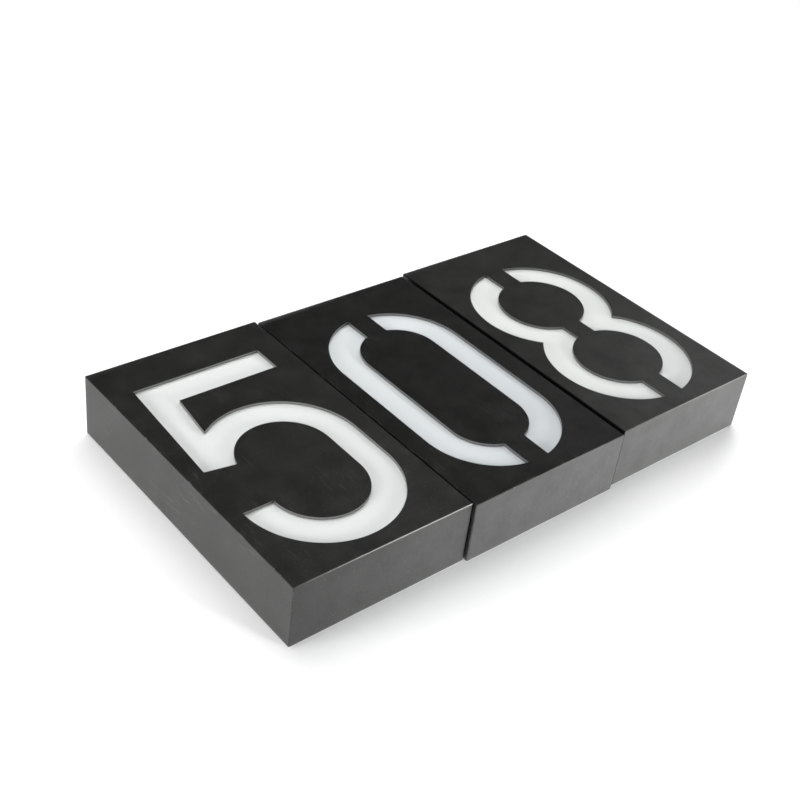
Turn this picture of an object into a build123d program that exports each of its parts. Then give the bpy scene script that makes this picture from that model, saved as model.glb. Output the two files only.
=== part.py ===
from build123d import *

import os
from collections import namedtuple
from math import cos, radians, sin

# Illuminated house number sign made of three separate tiles, which read 5, 0, 8.
#
# Each tile is a folded sheet-steel front that pushes onto a moulded tray. The tray hangs on two
# screws in a wall and holds a white light box with its LED board, a rechargeable cell, a small
# control board with a slide switch, and a solar panel that looks out through a window in the top
# edge of the front. The tiles lie on their backs here: X runs along the number as it is read,
# Y points to the tops of the numerals, and Z points out of the faces. The origin is the middle of
# the whole sign on the wall side. All sizes are in millimetres.

# ---------------------------------------------------------------- driving dimensions

tile_width = 100.0
tile_height = 175.0
tile_depth = 35.0
left_gap, right_gap = 0.8, 2.2
tile_stagger = 1.8

sheet = 1.5
bend_radius = 0.6
corner_radius = 0.6
wall_gap = 0.4

# Numerals, measured across from the tile's middle and up from its lower edge.
numeral_x = -0.8
bridge_width = 13.2
zero_low, zero_high = 48.1, 113.5
zero_outer, zero_inner = 38.5, 22.0
eight_low, eight_high = 50.2, 109.9
eight_outer, eight_inner = 40.7, 24.6
bowl_low, bowl_high = 49.7, 74.0
bowl_outer, bowl_inner = 40.8, 24.4
bowl_start_angle = 125.5
stem_cut_angle = 167.5
bar_top, bar_bottom = 151.7, 134.4
bar_left, bar_right = -36.7, 35.8
stem_inner_top = -21.2
stem_foot_x, stem_foot_height = -40.8, 82.1

# Opal plate and the angles that hold it up.
diffuser_thickness = 3.0
side_clearance = 0.3
edge_chamfer = 0.3
bracket_sheet = 0.8
bracket_width = 10.0
bracket_height = 8.5
bracket_shelf = 2.6
bracket_spacing = 62.0

# Tray.
tray_floor = 2.5
rim_top = 10.0
rim_wall = 2.0
tray_corner = 1.0
groove_low, groove_height, groove_depth = 5.0, 1.6, 1.0
gasket_proud = 0.15
board_seat = 6.4
board_thickness, board_corner = 1.6, 1.0
post_radius = 3.0
pilot_radius = 1.2
pilot_bottom = 2.7
screw_hole = 1.5
keyhole_spacing = 60.0
keyhole_height = 18.0
keyhole_entry, keyhole_slot, keyhole_travel = 4.5, 2.25, 10.0

# Light box.
reflector_wall = 1.2
reflector_floor = 1.0
reflector_top = 29.0
reflector_base_size = (72.0, 120.0)
reflector_base_y = -6.0
reflector_mouth_size = (88.0, 146.5)
reflector_mouth_y = -7.25
reflector_corner = 10.0
led_window = 3.2
led_columns, led_rows = 3, 5
led_pitch_x, led_pitch_y = 18.0, 24.0
led_size = (3.5, 2.8, 0.8)
led_board_size = (66.0, 127.0)
led_board_y = -4.5
light_box_screws = [(x, y) for x in (-30.0, 30.0) for y in (-60.0, 48.0)]

# Cell and its holder.
cell_radius = 7.25
cell_length = 49.2
nub_radius, nub_length = 2.75, 1.3
cell_left = -41.5
cell_y, cell_z = 71.9, 10.4
cradle_clearance = 0.05
contact_sheet, contact_width = 0.4, 10.0
leaf_travel = 2.7

# Control board.
control_left, control_right = 12.5, 45.5
control_low, control_high = 62.0, 79.0
control_screws = [(15.2, 76.3), (42.8, 64.6)]
control_props = [(15.2, 64.6), (42.8, 76.3)]
switch_x, switch_y = 40.0, 70.0
switch_size = (8.6, 4.4, 3.6)
switch_wall = 0.4
switch_travel = 2.0
knob_size = (2.0, 1.6)
knob_height = 3.6
knob_play = 0.3
led_plug = (18.0, 64.85)
cell_plug = (26.0, 64.85)
panel_plug = (30.0, 73.75)
plug_size = (6.0, 4.5, 5.0)

# Solar panel and its window.
panel_width, panel_height, panel_thickness = 70.0, 24.5, 2.4
panel_back = 81.0
pane_width, pane_height, pane_thickness = 76.0, 18.6, 2.0
pane_bottom = 11.0
window_width, window_height = 68.0, 14.5
window_bottom, window_corner = 13.0, 2.0

wire_radius = 0.6
wire_pair = 1.7

# ---------------------------------------------------------------- worked-out values

Tile = namedtuple("Tile", "digit x y")
outer_x = tile_width + (left_gap + right_gap) / 2
tiles = [
    Tile("5", -outer_x, tile_stagger / 2),
    Tile("0", (left_gap - right_gap) / 2, -tile_stagger / 2),
    Tile("8", outer_x, tile_stagger / 2),
]

inner_width = tile_width - 2 * sheet
inner_height = tile_height - 2 * sheet
tray_width = inner_width - 2 * side_clearance
tray_height = inner_height - 2 * side_clearance
rim_inner_x = tray_width / 2 - rim_wall
rim_inner_y = tray_height / 2 - rim_wall
face_back = tile_depth - sheet
diffuser_back = face_back - diffuser_thickness
board_top = board_seat + board_thickness
reflector_floor_top = board_top + reflector_floor
cell_right = cell_left + cell_length + nub_length
plate_left = cell_left - leaf_travel - contact_sheet


def from_foot(height):
    """Turn a height above a tile's lower edge into Y from the tile's middle."""
    return height - tile_height / 2


def polar(centre_height, radius, angle):
    """Point on a numeral's arc, by the angle from the reading direction."""
    return (
        numeral_x + radius * cos(radians(angle)),
        from_foot(centre_height) + radius * sin(radians(angle)),
    )


def level(tile, z, x=0.0, y=0.0):
    """Horizontal plane at height z over a point of the tile, facing out of the tile's face."""
    return Plane(origin=(tile.x + x, tile.y + y, z))


def facing_top_edge(tile, y, z=0.0, x=0.0):
    """Upright plane that looks towards the tile's top edge, with its own Y upwards."""
    return Plane(origin=(tile.x + x, tile.y + y, z), x_dir=(-1, 0, 0), z_dir=(0, 1, 0))


def facing_right(tile, x, y=0.0, z=0.0):
    """Upright plane that looks along +X, with its own X along Y and its own Y upwards."""
    return Plane(origin=(tile.x + x, tile.y + y, z), x_dir=(0, 1, 0), z_dir=(1, 0, 0))


def save(builder, name):
    builder.part.label = name
    export_step(builder.part, f"parts/{name}.step")


# ---------------------------------------------------------------- numerals

with BuildSketch() as zero_opening:
    with Locations((numeral_x, from_foot((zero_low + zero_high) / 2))):
        SlotCenterToCenter(zero_high - zero_low, 2 * zero_outer, rotation=90)
        SlotCenterToCenter(zero_high - zero_low, 2 * zero_inner, rotation=90, mode=Mode.SUBTRACT)
    with Locations((numeral_x, 0)):
        Rectangle(bridge_width, tile_height, mode=Mode.SUBTRACT)

with BuildSketch() as eight_opening:
    with Locations((numeral_x, from_foot(eight_low)), (numeral_x, from_foot(eight_high))):
        Circle(eight_outer)
    with Locations((numeral_x, from_foot(eight_low)), (numeral_x, from_foot(eight_high))):
        Circle(eight_inner, mode=Mode.SUBTRACT)
    with Locations((numeral_x, 0)):
        Rectangle(bridge_width, tile_height, mode=Mode.SUBTRACT)

with BuildSketch() as five_opening:
    with BuildLine():
        bowl_roof = ThreePointArc(
            polar(bowl_high, bowl_outer, bowl_start_angle),
            polar(bowl_high, bowl_outer, bowl_start_angle / 2),
            polar(bowl_high, bowl_outer, 0),
        )
        right_flank = Line(bowl_roof @ 1, polar(bowl_low, bowl_outer, 0))
        bowl_base = ThreePointArc(
            right_flank @ 1,
            polar(bowl_low, bowl_outer, -90),
            polar(bowl_low, bowl_outer, -180),
        )
        tail_cut = Line(bowl_base @ 1, polar(bowl_low, bowl_inner, -180))
        inner_base = ThreePointArc(
            tail_cut @ 1,
            polar(bowl_low, bowl_inner, -90),
            polar(bowl_low, bowl_inner, 0),
        )
        inner_flank = Line(inner_base @ 1, polar(bowl_high, bowl_inner, 0))
        inner_roof = ThreePointArc(
            inner_flank @ 1,
            polar(bowl_high, bowl_inner, stem_cut_angle / 2),
            polar(bowl_high, bowl_inner, stem_cut_angle),
        )
        Polyline(
            inner_roof @ 1,
            (stem_foot_x, from_foot(stem_foot_height)),
            (bar_left, from_foot(bar_top)),
            (bar_right, from_foot(bar_top)),
            (bar_right, from_foot(bar_bottom)),
            (stem_inner_top, from_foot(bar_bottom)),
            bowl_roof @ 0,
        )
    make_face()

openings = {"5": five_opening.sketch, "0": zero_opening.sketch, "8": eight_opening.sketch}


# ---------------------------------------------------------------- front of a tile

def make_front_shell(tile):
    """Folded and welded sheet box, open at the back, with the numeral and the window cut out."""
    with BuildPart() as front_shell:
        with BuildSketch(level(tile, wall_gap)):
            RectangleRounded(tile_width, tile_height, corner_radius)
        extrude(amount=tile_depth - wall_gap)
        fillet(front_shell.edges().group_by(Axis.Z)[-1], bend_radius)
        with BuildSketch(level(tile, wall_gap)):
            Rectangle(inner_width, inner_height)
        extrude(amount=face_back - wall_gap, mode=Mode.SUBTRACT)
        with BuildSketch(level(tile, face_back)):
            add(openings[tile.digit])
        extrude(amount=sheet, mode=Mode.SUBTRACT)
        window_z = window_bottom + window_height / 2
        with BuildSketch(facing_top_edge(tile, inner_height / 2, window_z)):
            RectangleRounded(window_width, window_height, window_corner)
        extrude(amount=sheet, mode=Mode.SUBTRACT)
    return front_shell


def make_diffuser(tile):
    """Opal plate that lies against the back of the face."""
    with BuildPart() as diffuser:
        with BuildSketch(level(tile, diffuser_back)):
            RectangleRounded(tray_width, tray_height, tray_corner)
        extrude(amount=diffuser_thickness)
        chamfer(diffuser.edges().group_by(Axis.Z)[0], edge_chamfer)
    return diffuser


def make_diffuser_brackets(tile):
    """Small angles on the long walls, three a side, that hold the opal plate up."""
    shelf_z = diffuser_back - bracket_sheet
    with BuildPart() as diffuser_brackets:
        for side in (-1, 1):
            wall_x = side * inner_width / 2
            with BuildSketch(level(tile, diffuser_back - bracket_height)):
                with Locations((wall_x - side * bracket_sheet / 2, 0)):
                    with GridLocations(0, bracket_spacing, 1, 3):
                        Rectangle(bracket_sheet, bracket_width)
            extrude(amount=bracket_height)
            with BuildSketch(level(tile, shelf_z)):
                with Locations((wall_x - side * bracket_shelf / 2, 0)):
                    with GridLocations(0, bracket_spacing, 1, 3):
                        Rectangle(bracket_shelf, bracket_width)
            extrude(amount=bracket_sheet)
    return diffuser_brackets


def make_solar_window(tile):
    """Clear pane bonded to the inside of the top edge wall."""
    with BuildPart() as solar_window:
        pane_z = pane_bottom + pane_height / 2
        with BuildSketch(facing_top_edge(tile, inner_height / 2, pane_z)):
            RectangleRounded(pane_width, pane_height, window_corner)
        extrude(amount=-pane_thickness)
        chamfer(solar_window.edges().group_by(Axis.Y)[0], edge_chamfer)
    return solar_window


# ---------------------------------------------------------------- tray

def make_back_tray(tile):
    """Moulded tray: floor, rim, posts, cell cradle, panel posts, ribs and keyholes."""
    rib_width, rib_height, rib_spacing = 1.6, 2.0, 34.0
    rib_low, rib_high = -74.0, 56.0
    cradle_width, cradle_top = 4.0, 8.5
    cradle_spots = (-34.0, -2.0)
    end_wall, end_wall_top = 1.5, 16.0
    panel_grip, panel_stop, panel_post_top = 2.5, 3.3, 22.0
    panel_play = 0.1
    grip_front = 79.6
    with BuildPart() as back_tray:
        with BuildSketch(level(tile, 0)):
            RectangleRounded(tray_width, tray_height, tray_corner)
        extrude(amount=rim_top)
        chamfer(back_tray.edges().group_by(Axis.Z)[-1], edge_chamfer)
        with BuildSketch(level(tile, tray_floor)):
            Rectangle(2 * rim_inner_x, 2 * rim_inner_y)
        extrude(amount=rim_top, mode=Mode.SUBTRACT)
        with BuildSketch(level(tile, groove_low)):
            Rectangle(tile_width, tile_height)
            RectangleRounded(
                tray_width - 2 * groove_depth,
                tray_height - 2 * groove_depth,
                tray_corner / 2,
                mode=Mode.SUBTRACT,
            )
        extrude(amount=groove_height, mode=Mode.SUBTRACT)
        # Posts under the boards, with pilot holes where a screw goes in.
        with BuildSketch(level(tile, tray_floor)):
            with Locations(*light_box_screws, *control_screws, *control_props):
                Circle(post_radius)
        extrude(amount=board_seat - tray_floor)
        with BuildSketch(level(tile, pilot_bottom)):
            with Locations(*light_box_screws, *control_screws):
                Circle(pilot_radius)
        extrude(amount=board_seat - pilot_bottom, mode=Mode.SUBTRACT)
        # Stiffening ribs.
        with BuildSketch(level(tile, tray_floor, y=(rib_low + rib_high) / 2)):
            with GridLocations(rib_spacing, 0, 2, 1):
                Rectangle(rib_width, rib_high - rib_low)
        extrude(amount=rib_height)
        # Two saddles and two end walls for the cell.
        for saddle_x in cradle_spots:
            with BuildSketch(facing_right(tile, saddle_x - cradle_width / 2)):
                with Locations((cell_y, (tray_floor + cradle_top) / 2)):
                    Rectangle(2 * cell_radius, cradle_top - tray_floor)
                with Locations((cell_y, cell_z)):
                    Circle(cell_radius + cradle_clearance, mode=Mode.SUBTRACT)
            extrude(amount=cradle_width)
        left_wall_x = plate_left - end_wall / 2
        right_wall_x = cell_right + contact_sheet + end_wall / 2
        with BuildSketch(level(tile, tray_floor)):
            with Locations((left_wall_x, cell_y), (right_wall_x, cell_y)):
                Rectangle(end_wall, contact_width)
        extrude(amount=end_wall_top - tray_floor)
        # Posts that grip the ends of the solar panel.
        for side in (-1, 1):
            panel_end = panel_width / 2 + panel_play
            grip_y = (grip_front + panel_back - panel_play) / 2
            stop_y = (grip_front + rim_inner_y) / 2
            grip_x = side * (panel_end + panel_stop - (panel_grip + panel_stop) / 2)
            with BuildSketch(level(tile, tray_floor)):
                with Locations((grip_x, grip_y)):
                    Rectangle(panel_grip + panel_stop, panel_back - panel_play - grip_front)
                with Locations((side * (panel_end + panel_stop / 2), stop_y)):
                    Rectangle(panel_stop, rim_inner_y - grip_front)
            extrude(amount=panel_post_top - tray_floor)
        # Keyholes for hanging: a round entry with a slot above it.
        with BuildSketch(level(tile, 0, y=keyhole_height)):
            with GridLocations(keyhole_spacing, 0, 2, 1):
                Circle(keyhole_entry)
        extrude(amount=tray_floor, mode=Mode.SUBTRACT)
        with BuildSketch(level(tile, 0, y=keyhole_height + keyhole_travel / 2)):
            with GridLocations(keyhole_spacing, 0, 2, 1):
                SlotCenterToCenter(keyhole_travel, 2 * keyhole_slot, rotation=90)
        extrude(amount=tray_floor, mode=Mode.SUBTRACT)
    return back_tray


def make_tray_gasket(tile):
    """Rubber ring in the groove of the rim."""
    with BuildPart() as tray_gasket:
        with BuildSketch(level(tile, groove_low)):
            RectangleRounded(
                tray_width + 2 * gasket_proud,
                tray_height + 2 * gasket_proud,
                tray_corner,
            )
            RectangleRounded(
                tray_width - 2 * groove_depth,
                tray_height - 2 * groove_depth,
                tray_corner / 2,
                mode=Mode.SUBTRACT,
            )
        extrude(amount=groove_height)
    return tray_gasket


def make_spring_clips(tile):
    """Four leaf springs inside the rim, whose crests grip the walls of the front."""
    clip_sheet, clip_width, clip_bend = 0.5, 8.0, 1.2
    clip_spacing = 80.0
    crest_inset, tip_outset = 0.45, 0.1
    foot_z, knee_z, crest_z, tip_z = 3.0, 11.0, 14.6, 18.0
    crest_x = inner_width / 2 - crest_inset
    tip_x = rim_inner_x + tip_outset
    foot_x = rim_inner_x - clip_sheet / 2
    with BuildPart() as spring_clips:
        for side in (-1, 1):
            for clip_y in (-clip_spacing / 2, clip_spacing / 2):
                with BuildSketch(facing_top_edge(tile, clip_y - clip_width / 2)):
                    with BuildLine():
                        FilletPolyline(
                            (side * foot_x, foot_z),
                            (side * foot_x, knee_z),
                            (side * crest_x, crest_z),
                            (side * tip_x, tip_z),
                            radius=clip_bend,
                        )
                    trace(line_width=clip_sheet)
                extrude(amount=clip_width)
    return spring_clips


# ---------------------------------------------------------------- light box

def make_reflector(tile):
    """White box with a floor that has a window over each LED, and walls that slope outwards."""
    wider = 2 * reflector_wall
    with BuildPart() as reflector:
        with BuildSketch(level(tile, board_top, y=reflector_base_y)):
            RectangleRounded(
                reflector_base_size[0] + wider, reflector_base_size[1] + wider, reflector_corner
            )
        with BuildSketch(level(tile, reflector_top, y=reflector_mouth_y)):
            RectangleRounded(
                reflector_mouth_size[0] + wider, reflector_mouth_size[1] + wider, reflector_corner
            )
        loft(ruled=True)
        with BuildSketch(level(tile, reflector_floor_top, y=reflector_base_y)):
            RectangleRounded(*reflector_base_size, reflector_corner)
        with BuildSketch(level(tile, reflector_top, y=reflector_mouth_y)):
            RectangleRounded(*reflector_mouth_size, reflector_corner)
        loft(ruled=True, mode=Mode.SUBTRACT)
        with BuildSketch(level(tile, board_top, y=reflector_base_y)):
            with GridLocations(led_pitch_x, led_pitch_y, led_columns, led_rows):
                Circle(led_window)
        extrude(amount=reflector_floor, mode=Mode.SUBTRACT)
        with BuildSketch(level(tile, board_top)):
            with Locations(*light_box_screws):
                Circle(screw_hole)
        extrude(amount=reflector_floor, mode=Mode.SUBTRACT)
    return reflector


def make_led_board(tile):
    """Board that carries the LEDs, under the light box."""
    with BuildPart() as led_board:
        with BuildSketch(level(tile, board_seat, y=led_board_y)):
            RectangleRounded(*led_board_size, board_corner)
        extrude(amount=board_thickness)
        with BuildSketch(level(tile, board_seat)):
            with Locations(*light_box_screws):
                Circle(screw_hole)
        extrude(amount=board_thickness, mode=Mode.SUBTRACT)
    return led_board


def make_leds(tile):
    """Surface-mount packages, each with a shallow round well for its phosphor."""
    well_radius, well_depth = 1.15, 0.15
    with BuildPart() as leds:
        with BuildSketch(level(tile, board_top, y=reflector_base_y)):
            with GridLocations(led_pitch_x, led_pitch_y, led_columns, led_rows):
                Rectangle(led_size[0], led_size[1])
        extrude(amount=led_size[2])
        well_floor = board_top + led_size[2] - well_depth
        with BuildSketch(level(tile, well_floor, y=reflector_base_y)):
            with GridLocations(led_pitch_x, led_pitch_y, led_columns, led_rows):
                Circle(well_radius)
        extrude(amount=well_depth, mode=Mode.SUBTRACT)
    return leds


def make_board_screws(tile):
    """Pan-head screws: four through the light box, two through the control board."""
    head_radius, head_height = 2.3, 1.6
    cross_length, cross_width, cross_depth = 3.45, 0.7, 0.8
    shank_radius, tip_z = 1.15, 3.0
    with BuildPart() as board_screws:
        for spots, seat in ((light_box_screws, reflector_floor_top), (control_screws, board_top)):
            with BuildSketch(level(tile, seat)):
                with Locations(*spots):
                    Circle(head_radius)
            extrude(amount=head_height)
            fillet(board_screws.edges(Select.LAST).group_by(Axis.Z)[-1], head_height / 2)
            with BuildSketch(level(tile, tip_z)):
                with Locations(*spots):
                    Circle(shank_radius)
            extrude(amount=seat - tip_z)
            with BuildSketch(level(tile, seat + head_height - cross_depth)):
                with Locations(*spots):
                    Rectangle(cross_length, cross_width)
                    Rectangle(cross_width, cross_length)
            extrude(amount=cross_depth, mode=Mode.SUBTRACT)
    return board_screws


# ---------------------------------------------------------------- cell and contacts

def make_battery_cell(tile):
    """One AA-size cell with its nub towards +X."""
    can_rounding, nub_rounding = 0.8, 0.4
    with BuildPart() as battery_cell:
        with BuildSketch(facing_right(tile, cell_left, cell_y, cell_z)):
            Circle(cell_radius)
        extrude(amount=cell_length)
        fillet(battery_cell.edges(), can_rounding)
        with BuildSketch(facing_right(tile, cell_left + cell_length, cell_y, cell_z)):
            Circle(nub_radius)
        extrude(amount=nub_length)
        fillet(battery_cell.edges().sort_by(Axis.X)[-1], nub_rounding)
    return battery_cell


def make_battery_contacts(tile):
    """A flat plate at the cell's nub and a bent leaf that presses on its other end."""
    plate_top = 16.0
    leaf_width, leaf_low, leaf_high, leaf_bend, leaf_flat = 6.0, 6.4, 14.4, 1.0, 1.5
    minus_x = plate_left + contact_sheet / 2
    plus_x = cell_right + contact_sheet / 2
    leaf_x = cell_left - contact_sheet / 2
    with BuildPart() as battery_contacts:
        with BuildSketch(level(tile, tray_floor)):
            with Locations((minus_x, cell_y), (plus_x, cell_y)):
                Rectangle(contact_sheet, contact_width)
        extrude(amount=plate_top - tray_floor)
        with BuildSketch(facing_top_edge(tile, cell_y - leaf_width / 2)):
            with BuildLine():
                FilletPolyline(
                    (-minus_x, leaf_low),
                    (-leaf_x, cell_z - leaf_flat),
                    (-leaf_x, cell_z + leaf_flat),
                    (-minus_x, leaf_high),
                    radius=leaf_bend,
                )
            trace(line_width=contact_sheet)
        extrude(amount=leaf_width)
    return battery_contacts


# ---------------------------------------------------------------- control board

def make_control_board(tile):
    """Board in the lower right corner of the parts' strip."""
    middle_x = (control_left + control_right) / 2
    middle_y = (control_low + control_high) / 2
    with BuildPart() as control_board:
        with BuildSketch(level(tile, board_seat, middle_x, middle_y)):
            RectangleRounded(control_right - control_left, control_high - control_low, board_corner)
        extrude(amount=board_thickness)
        with BuildSketch(level(tile, board_seat)):
            with Locations(*control_screws):
                Circle(screw_hole)
        extrude(amount=board_thickness, mode=Mode.SUBTRACT)
    return control_board


def make_board_components(tile):
    """Plugs, coil, chip, capacitor, diode and resistors on the control board."""
    plug_chamfer = 0.4
    coil_spot, coil_size, coil_corner, coil_height = (21.5, 73.5), 6.0, 1.0, 3.0
    chip_spot, chip_size, chip_height = (29.5, 69.2), (5.0, 3.8), 1.5
    can_spot, can_radius, can_height = (35.2, 64.8), 2.4, 6.0
    diode_spot, diode_size, diode_height = (21.0, 68.9), (3.5, 1.8), 1.2
    resistor_spots, resistor_size, resistor_height = (36.5, 39.5, 42.0), (1.2, 2.0), 0.6
    resistor_y = 74.6
    with BuildPart() as board_components:
        with BuildSketch(level(tile, board_top)):
            with Locations(led_plug, cell_plug, panel_plug):
                Rectangle(plug_size[0], plug_size[1])
        extrude(amount=plug_size[2])
        chamfer(board_components.edges().group_by(Axis.Z)[-1], plug_chamfer)
        with BuildSketch(level(tile, board_top)):
            with Locations(coil_spot):
                RectangleRounded(coil_size, coil_size, coil_corner)
        extrude(amount=coil_height)
        with BuildSketch(level(tile, board_top)):
            with Locations(chip_spot):
                Rectangle(*chip_size)
        extrude(amount=chip_height)
        with BuildSketch(level(tile, board_top)):
            with Locations(can_spot):
                Circle(can_radius)
        extrude(amount=can_height)
        with BuildSketch(level(tile, board_top)):
            with Locations(diode_spot):
                Rectangle(*diode_size)
        extrude(amount=diode_height)
        with BuildSketch(level(tile, board_top)):
            with Locations(*[(x, resistor_y) for x in resistor_spots]):
                Rectangle(*resistor_size)
        extrude(amount=resistor_height)
    return board_components


def make_switch_body(tile):
    """Hollow can with a slot in its roof for the knob."""
    length, width, height = switch_size
    with BuildPart() as switch_body:
        with BuildSketch(level(tile, board_top, switch_x, switch_y)):
            RectangleRounded(length, width, switch_wall)
        extrude(amount=height)
        with BuildSketch(level(tile, board_top + switch_wall, switch_x, switch_y)):
            Rectangle(length - 2 * switch_wall, width - 2 * switch_wall)
        extrude(amount=height - 2 * switch_wall, mode=Mode.SUBTRACT)
        with BuildSketch(level(tile, board_top + switch_wall, switch_x, switch_y)):
            Rectangle(
                knob_size[0] + switch_travel + 2 * knob_play, knob_size[1] + knob_play
            )
        extrude(amount=height, mode=Mode.SUBTRACT)
    return switch_body


def make_switch_knob(tile):
    """Knob at its OFF end, with a foot that is wider than the slot and stays inside the can."""
    foot_width, foot_height = 2.8, 1.0
    foot_z = board_top + switch_wall + knob_play
    rest_x = switch_x - switch_travel / 2
    roof = board_top + switch_size[2]
    with BuildPart() as switch_knob:
        with BuildSketch(level(tile, foot_z, rest_x, switch_y)):
            Rectangle(foot_width, foot_width)
        extrude(amount=foot_height)
        with BuildSketch(level(tile, foot_z, rest_x, switch_y)):
            Rectangle(*knob_size)
        extrude(amount=roof + knob_height - foot_z)
        chamfer(switch_knob.edges().group_by(Axis.Z)[-1], edge_chamfer)
    return switch_knob


def make_solar_panel(tile):
    """Laminated panel on edge, with eight cells that stand slightly proud of it."""
    cell_count, cell_pitch = 8, 8.55
    cell_width, cell_height, proud = 7.9, 20.5, 0.15
    middle_z = tray_floor + panel_height / 2
    with BuildPart() as solar_panel:
        with BuildSketch(facing_top_edge(tile, panel_back, middle_z)):
            Rectangle(panel_width, panel_height)
        extrude(amount=panel_thickness)
        with BuildSketch(facing_top_edge(tile, panel_back + panel_thickness, middle_z)):
            with GridLocations(cell_pitch, 0, cell_count, 1):
                Rectangle(cell_width, cell_height)
        extrude(amount=proud)
    return solar_panel


# ---------------------------------------------------------------- wiring

def wire_routes(tile, lead_x, polarity):
    """Three routes of one polarity: LED lead, cell lead and panel lead."""
    pad_y, pad_run, pad_ramp = 56.6, 2.4, 4.2
    duct_y, plus_lift, minus_lift = 60.6, 0.72, 2.16
    back_run, back_ramp, back_rise = 1.8, 3.4, 3.0
    pad_z = board_top + wire_radius
    plug_z = board_top + plug_size[2] / 2
    led_x, cell_x, panel_x = led_plug[0] + lead_x, cell_plug[0] + lead_x, panel_plug[0] + lead_x
    plug_face = led_plug[1] - plug_size[1] / 2
    panel_face = panel_plug[1] + plug_size[1] / 2
    tap_y = cell_y - contact_width / 2
    tap_x, duct_z = {
        "plus": (cell_right + contact_sheet / 2, tray_floor + plus_lift),
        "minus": (plate_left + contact_sheet / 2, tray_floor + minus_lift),
    }[polarity]
    led_lead = [
        (led_x, pad_y, pad_z),
        (led_x, pad_y + pad_run, pad_z),
        (led_x, pad_y + pad_ramp, plug_z),
        (led_x, plug_face, plug_z),
    ]
    cell_lead = [
        (tap_x, tap_y, duct_z),
        (tap_x, duct_y, duct_z),
        (cell_x, duct_y, duct_z),
        (cell_x, duct_y, plug_z),
        (cell_x, plug_face, plug_z),
    ]
    panel_lead = [
        (panel_x, panel_back, plug_z + back_rise),
        (panel_x, panel_back - back_run, plug_z + back_rise),
        (panel_x, panel_back - back_ramp, plug_z),
        (panel_x, panel_face, plug_z),
    ]
    return [
        [(tile.x + x, tile.y + y, z) for x, y, z in route]
        for route in (led_lead, cell_lead, panel_lead)
    ]


def make_wires(tile, lead_x, polarity):
    """The three leads of one polarity."""
    wire_bend = 0.9
    with BuildPart() as wires:
        for route in wire_routes(tile, lead_x, polarity):
            with BuildLine() as path:
                FilletPolyline(*route, radius=wire_bend)
            with BuildSketch(Plane(origin=path.line @ 0, z_dir=path.line % 0)):
                Circle(wire_radius)
            sweep(path=path.line)
    return wires


# ---------------------------------------------------------------- all pieces of all tiles

os.makedirs("parts", exist_ok=True)

makers = {
    "front_shell": make_front_shell,
    "diffuser": make_diffuser,
    "diffuser_brackets": make_diffuser_brackets,
    "solar_window": make_solar_window,
    "back_tray": make_back_tray,
    "tray_gasket": make_tray_gasket,
    "spring_clips": make_spring_clips,
    "reflector": make_reflector,
    "led_board": make_led_board,
    "leds": make_leds,
    "board_screws": make_board_screws,
    "battery_cell": make_battery_cell,
    "battery_contacts": make_battery_contacts,
    "control_board": make_control_board,
    "board_components": make_board_components,
    "switch_body": make_switch_body,
    "switch_knob": make_switch_knob,
    "solar_panel": make_solar_panel,
}

for tile in tiles:
    for name, maker in makers.items():
        save(maker(tile), f"{name}_{tile.digit}")
    save(make_wires(tile, wire_pair / 2, "plus"), f"red_wires_{tile.digit}")
    save(make_wires(tile, -wire_pair / 2, "minus"), f"black_wires_{tile.digit}")
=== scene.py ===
import math
from collections import namedtuple
from contextlib import contextmanager

import bmesh
import bpy
from mathutils import Matrix, Quaternion, Vector


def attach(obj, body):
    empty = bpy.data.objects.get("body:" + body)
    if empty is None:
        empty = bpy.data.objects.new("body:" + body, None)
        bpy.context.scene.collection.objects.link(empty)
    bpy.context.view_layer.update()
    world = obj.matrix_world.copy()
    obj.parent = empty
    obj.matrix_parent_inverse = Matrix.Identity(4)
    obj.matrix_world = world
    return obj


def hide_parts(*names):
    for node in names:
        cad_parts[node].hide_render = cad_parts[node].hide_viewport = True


# House number sign: three black sheet-steel light boxes, 5 0 8, lying on a white floor.
# The pieces are drawn in millimetres, which MM turns into metres. The lamps and camera are in metres.

MM = 0.001

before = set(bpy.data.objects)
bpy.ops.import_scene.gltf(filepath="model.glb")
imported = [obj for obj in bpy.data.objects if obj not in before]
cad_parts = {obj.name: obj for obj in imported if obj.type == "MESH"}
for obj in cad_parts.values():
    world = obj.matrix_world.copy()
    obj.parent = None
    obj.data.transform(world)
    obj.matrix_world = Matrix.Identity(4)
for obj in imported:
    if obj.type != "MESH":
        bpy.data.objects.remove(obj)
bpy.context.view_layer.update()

ORIGIN = (0.0, 0.0, 0.0)

# Each tile is 100 x 175 x 35, of 1.5 sheet. They lie side by side, with tile 0 a little nearer.
TILE_HALF = (50.0, 87.5)
TILE_TOP = 35.0
SHEET = 1.5
GAPS = (0.8, 2.2)
STAGGER = 1.8

Tile = namedtuple("Tile", "digit x y")
LEFT = -2 * TILE_HALF[0] - sum(GAPS) / 2
TILES = [
    Tile("5", LEFT, STAGGER / 2),
    Tile("0", LEFT + 2 * TILE_HALF[0] + GAPS[0], -STAGGER / 2),
    Tile("8", -LEFT, STAGGER / 2),
]


# ---------------------------------------------------------------- shader maths

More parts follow.
